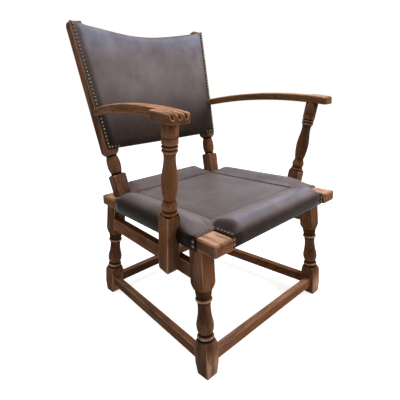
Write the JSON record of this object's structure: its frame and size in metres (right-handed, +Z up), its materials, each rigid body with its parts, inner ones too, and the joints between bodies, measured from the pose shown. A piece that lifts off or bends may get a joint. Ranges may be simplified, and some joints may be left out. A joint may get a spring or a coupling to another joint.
{
  "type": "armchair",
  "caption": "Low oak armchair with turned legs, box stretcher, leather seat with padded flaps, raked leather back and arched arms with carved hands.",
  "frame": {"origin": "on the floor, under the middle of the whole chair's bounding box", "axes": "+Z up, -Y is the front that the sitter faces, +X is the sitter's left, which is the right-hand side seen from the front"},
  "size_m": [0.688, 0.6055, 0.8744],
  "materials": {
    "oak": "dark waxed oak, worn lighter on arrises and flats",
    "leather": "dark brown leather with a soft sheen, light seams",
    "nails": "aged brass, darkened, worn bright on the crowns",
    "webbing": "jute webbing",
    "stuffing": "hair stuffing in linen"
  },
  "bodies": {
    "root": {"arm_dowels_left": "oak", "arm_dowels_right": "oak", "arm_left": "oak", "arm_post_left": "oak", "arm_post_right": "oak", "arm_right": "oak", "back_leather_front": "leather", "back_leather_rear": "leather", "back_nails_left": "nails", "back_nails_right": "nails", "back_pad": "stuffing", "back_post_left": "oak", "back_post_right": "oak", "back_rail_bottom": "oak", "back_rail_top": "oak", "front_leg_left": "oak", "front_leg_right": "oak", "lower_rail_left": "oak", "lower_rail_right": "oak", "rear_leg_left": "oak", "rear_leg_right": "oak", "seat_nails_left": "nails", "seat_nails_right": "nails", "seat_pad": "stuffing", "seat_panel": "leather", "seat_rail_front": "oak", "seat_rail_left": "oak", "seat_rail_rear": "oak", "seat_rail_right": "oak", "seat_roll_front": "leather", "seat_roll_left": "leather", "seat_roll_rear": "leather", "seat_roll_right": "leather", "seat_webbing_across": "webbing", "seat_webbing_along": "webbing", "stretcher_front": "oak", "stretcher_left": "oak", "stretcher_rear": "oak", "stretcher_right": "oak"}
  },
  "joints": []
}
